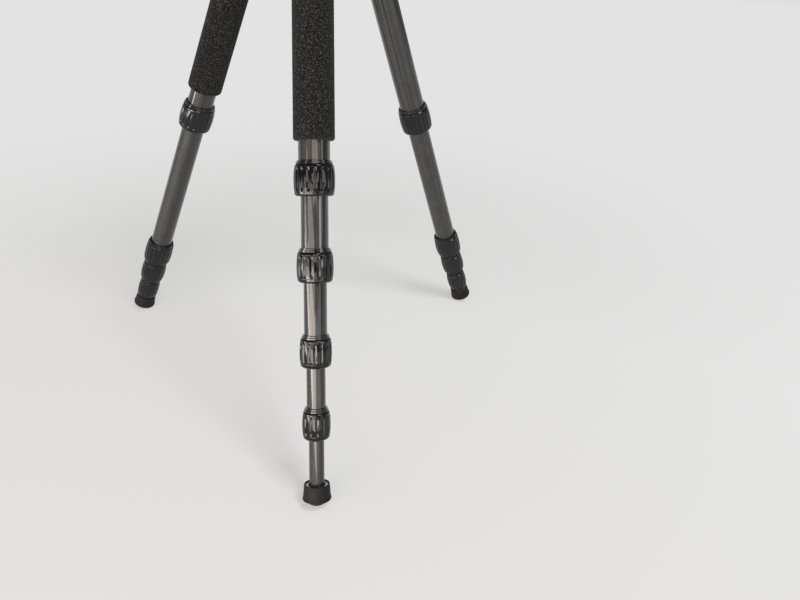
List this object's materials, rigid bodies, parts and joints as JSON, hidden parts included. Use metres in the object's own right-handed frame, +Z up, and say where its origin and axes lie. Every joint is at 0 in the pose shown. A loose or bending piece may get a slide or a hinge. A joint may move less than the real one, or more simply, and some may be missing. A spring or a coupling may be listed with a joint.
{
  "type": "camera tripod",
  "caption": "Travel tripod with telescoping twist-lock legs, foam grips, folding leg joints with angle stops, and a sliding centre column that carries a camera stud.",
  "frame": {"origin": "centre of the camera seat on the top plate, on the centre column's axis", "axes": "+Z up along the column and the camera stud, -Y towards the front leg"},
  "size_m": [0.4466, 0.3903, 0.5924],
  "materials": {
    "carbon_tube": "clear-coated carbon fibre, warm grey",
    "grip_foam": "fine closed-cell foam, matte",
    "lock_polymer": "moulded, semi-gloss black",
    "anodised_black": "turned and black anodised",
    "cast_black": "cast, fine textured black paint",
    "insert_aluminium": "turned, bright",
    "stop_aluminium": "machined, satin anodised",
    "foot_rubber": "moulded matte rubber",
    "bolt_steel": "turned, bright",
    "stud_steel": "stainless, satin"
  },
  "bodies": {
    "root": {"spider": "cast_black", "pivot_bolts": "bolt_steel"},
    "column": {"column_tube": "carbon_tube", "top_plate": "anodised_black", "camera_stud": "stud_steel", "column_hook": "cast_black"},
    "column_lock": {"column_lock": "lock_polymer"},
    "front_leg": {"front_yoke": "cast_black", "front_tube_1": "carbon_tube", "front_fittings_1": "anodised_black", "front_foam_grip": "grip_foam"},
    "front_stop": {"front_angle_stop": "stop_aluminium"},
    "front_lock_1": {"front_lock_ring_1": "lock_polymer"},
    "front_section_2": {"front_tube_2": "carbon_tube", "front_fittings_2": "anodised_black"},
    "front_lock_2": {"front_lock_ring_2": "lock_polymer"},
    "front_section_3": {"front_tube_3": "carbon_tube", "front_fittings_3": "anodised_black"},
    "front_lock_3": {"front_lock_ring_3": "lock_polymer"},
    "front_section_4": {"front_tube_4": "carbon_tube", "front_fittings_4": "anodised_black"},
    "front_lock_4": {"front_lock_ring_4": "lock_polymer"},
    "front_section_5": {"front_tube_5": "carbon_tube", "front_fittings_5": "insert_aluminium", "front_foot": "foot_rubber"},
    "right_leg": {"right_yoke": "cast_black", "right_tube_1": "carbon_tube", "right_fittings_1": "anodised_black"},
    "right_stop": {"right_angle_stop": "stop_aluminium"},
    "right_lock_1": {"right_lock_ring_1": "lock_polymer"},
    "right_section_2": {"right_tube_2": "carbon_tube", "right_fittings_2": "anodised_black"},
    "right_lock_2": {"right_lock_ring_2": "lock_polymer"},
    "right_section_3": {"right_tube_3": "carbon_tube", "right_fittings_3": "anodised_black"},
    "right_lock_3": {"right_lock_ring_3": "lock_polymer"},
    "right_section_4": {"right_tube_4": "carbon_tube", "right_fittings_4": "anodised_black"},
    "right_lock_4": {"right_lock_ring_4": "lock_polymer"},
    "right_section_5": {"right_tube_5": "carbon_tube", "right_fittings_5": "insert_aluminium", "right_foot": "foot_rubber"},
    "left_leg": {"left_yoke": "cast_black", "left_tube_1": "carbon_tube", "left_fittings_1": "anodised_black", "left_foam_grip": "grip_foam"},
    "left_stop": {"left_angle_stop": "stop_aluminium"},
    "left_lock_1": {"left_lock_ring_1": "lock_polymer"},
    "left_section_2": {"left_tube_2": "carbon_tube", "left_fittings_2": "anodised_black"},
    "left_lock_2": {"left_lock_ring_2": "lock_polymer"},
    "left_section_3": {"left_tube_3": "carbon_tube", "left_fittings_3": "anodised_black"},
    "left_lock_3": {"left_lock_ring_3": "lock_polymer"},
    "left_section_4": {"left_tube_4": "carbon_tube", "left_fittings_4": "anodised_black"},
    "left_lock_4": {"left_lock_ring_4": "lock_polymer"},
    "left_section_5": {"left_tube_5": "carbon_tube", "left_fittings_5": "insert_aluminium", "left_foot": "foot_rubber"}
  },
  "joints": [
    {"name": "column_slide", "type": "slide", "parent": "root", "child": "column", "axis": [0, 0, 1], "range_m": [0, 0.135]},
    {"name": "column_lock_turn", "type": "hinge", "parent": "root", "child": "column_lock", "pos_m": [0, 0, -0.0194], "axis": [0, 0, 1], "range_deg": [0, 110]},
    {"name": "front_leg_swing", "type": "hinge", "parent": "root", "child": "front_leg", "pos_m": [0, -0.041, -0.0464], "axis": [-1, 0, 0], "range_deg": [-21, 159]},
    {"name": "front_stop_slide", "type": "slide", "parent": "front_leg", "child": "front_stop", "axis": [0, 0.3584, 0.9336], "range_m": [0, 0.0032]},
    {"name": "front_lock_turn_1", "type": "hinge", "parent": "front_leg", "child": "front_lock_1", "pos_m": [0, -0.1426, -0.31107], "axis": [0, -0.3584, -0.9336], "range_deg": [0, 110]},
    {"name": "front_slide_2", "type": "slide", "parent": "front_leg", "child": "front_section_2", "axis": [0, -0.3584, -0.9336], "range_m": [-0.044, 0.156]},
    {"name": "front_lock_turn_2", "type": "hinge", "parent": "front_section_2", "child": "front_lock_2", "pos_m": [0, -0.16965, -0.38155], "axis": [0, -0.3584, -0.9336], "range_deg": [0, 110]},
    {"name": "front_slide_3", "type": "slide", "parent": "front_section_2", "child": "front_section_3", "axis": [0, -0.3584, -0.9336], "range_m": [-0.045, 0.185]},
    {"name": "front_lock_turn_3", "type": "hinge", "parent": "front_section_3", "child": "front_lock_3", "pos_m": [0, -0.19662, -0.45181], "axis": [0, -0.3584, -0.9336], "range_deg": [0, 110]},
    {"name": "front_slide_4", "type": "slide", "parent": "front_section_3", "child": "front_section_4", "axis": [0, -0.3584, -0.9336], "range_m": [-0.035, 0.22]},
    {"name": "front_lock_turn_4", "type": "hinge", "parent": "front_section_4", "child": "front_lock_4", "pos_m": [0, -0.21959, -0.51165], "axis": [0, -0.3584, -0.9336], "range_deg": [0, 110]},
    {"name": "front_slide_5", "type": "slide", "parent": "front_section_4", "child": "front_section_5", "axis": [0, -0.3584, -0.9336], "range_m": [-0.0395, 0.2405]},
    {"name": "right_leg_swing", "type": "hinge", "parent": "root", "child": "right_leg", "pos_m": [0.03551, 0.0205, -0.0464], "axis": [0.5, -0.866, 0], "range_deg": [-21, 159]},
    {"name": "right_stop_slide", "type": "slide", "parent": "right_leg", "child": "right_stop", "axis": [-0.3104, -0.1792, 0.9336], "range_m": [0, 0.0032]},
    {"name": "right_lock_turn_1", "type": "hinge", "parent": "right_leg", "child": "right_lock_1", "pos_m": [0.12349, 0.0713, -0.31107], "axis": [0.3104, 0.1792, -0.9336], "range_deg": [0, 110]},
    {"name": "right_slide_2", "type": "slide", "parent": "right_leg", "child": "right_section_2", "axis": [0.3104, 0.1792, -0.9336], "range_m": [-0.158, 0.042]},
    {"name": "right_lock_turn_2", "type": "hinge", "parent": "right_section_2", "child": "right_lock_2", "pos_m": [0.1823, 0.10525, -0.48798], "axis": [0.3104, 0.1792, -0.9336], "range_deg": [0, 110]},
    {"name": "right_slide_3", "type": "slide", "parent": "right_section_2", "child": "right_section_3", "axis": [0.3104, 0.1792, -0.9336], "range_m": [-0.0015, 0.2285]},
    {"name": "right_lock_turn_3", "type": "hinge", "parent": "right_section_3", "child": "right_lock_3", "pos_m": [0.19216, 0.11094, -0.51763], "axis": [0.3104, 0.1792, -0.9336], "range_deg": [0, 110]},
    {"name": "right_slide_4", "type": "slide", "parent": "right_section_3", "child": "right_section_4", "axis": [0.3104, 0.1792, -0.9336], "range_m": [-0.002, 0.253]},
    {"name": "right_lock_turn_4", "type": "hinge", "parent": "right_section_4", "child": "right_lock_4", "pos_m": [0.20181, 0.11652, -0.54666], "axis": [0.3104, 0.1792, -0.9336], "range_deg": [0, 110]},
    {"name": "right_slide_5", "type": "slide", "parent": "right_section_4", "child": "right_section_5", "axis": [0.3104, 0.1792, -0.9336], "range_m": [-0.002, 0.278]},
    {"name": "left_leg_swing", "type": "hinge", "parent": "root", "child": "left_leg", "pos_m": [-0.03551, 0.0205, -0.0464], "axis": [0.5, 0.866, 0], "range_deg": [-21, 159]},
    {"name": "left_stop_slide", "type": "slide", "parent": "left_leg", "child": "left_stop", "axis": [0.3104, -0.1792, 0.9336], "range_m": [0, 0.0032]},
    {"name": "left_lock_turn_1", "type": "hinge", "parent": "left_leg", "child": "left_lock_1", "pos_m": [-0.12349, 0.0713, -0.31107], "axis": [-0.3104, 0.1792, -0.9336], "range_deg": [0, 110]},
    {"name": "left_slide_2", "type": "slide", "parent": "left_leg", "child": "left_section_2", "axis": [-0.3104, 0.1792, -0.9336], "range_m": [-0.1635, 0.0365]},
    {"name": "left_lock_turn_2", "type": "hinge", "parent": "left_section_2", "child": "left_lock_2", "pos_m": [-0.18401, 0.10624, -0.49312], "axis": [-0.3104, 0.1792, -0.9336], "range_deg": [0, 110]},
    {"name": "left_slide_3", "type": "slide", "parent": "left_section_2", "child": "left_section_3", "axis": [-0.3104, 0.1792, -0.9336], "range_m": [0, 0.23]},
    {"name": "left_lock_turn_3", "type": "hinge", "parent": "left_section_3", "child": "left_lock_3", "pos_m": [-0.1934, 0.11166, -0.52136], "axis": [-0.3104, 0.1792, -0.9336], "range_deg": [0, 110]},
    {"name": "left_slide_4", "type": "slide", "parent": "left_section_3", "child": "left_section_4", "axis": [-0.3104, 0.1792, -0.9336], "range_m": [0, 0.255]},
    {"name": "left_lock_turn_4", "type": "hinge", "parent": "left_section_4", "child": "left_lock_4", "pos_m": [-0.20243, 0.11687, -0.54853], "axis": [-0.3104, 0.1792, -0.9336], "range_deg": [0, 110]},
    {"name": "left_slide_5", "type": "slide", "parent": "left_section_4", "child": "left_section_5", "axis": [-0.3104, 0.1792, -0.9336], "range_m": [0, 0.28]}
  ]
}
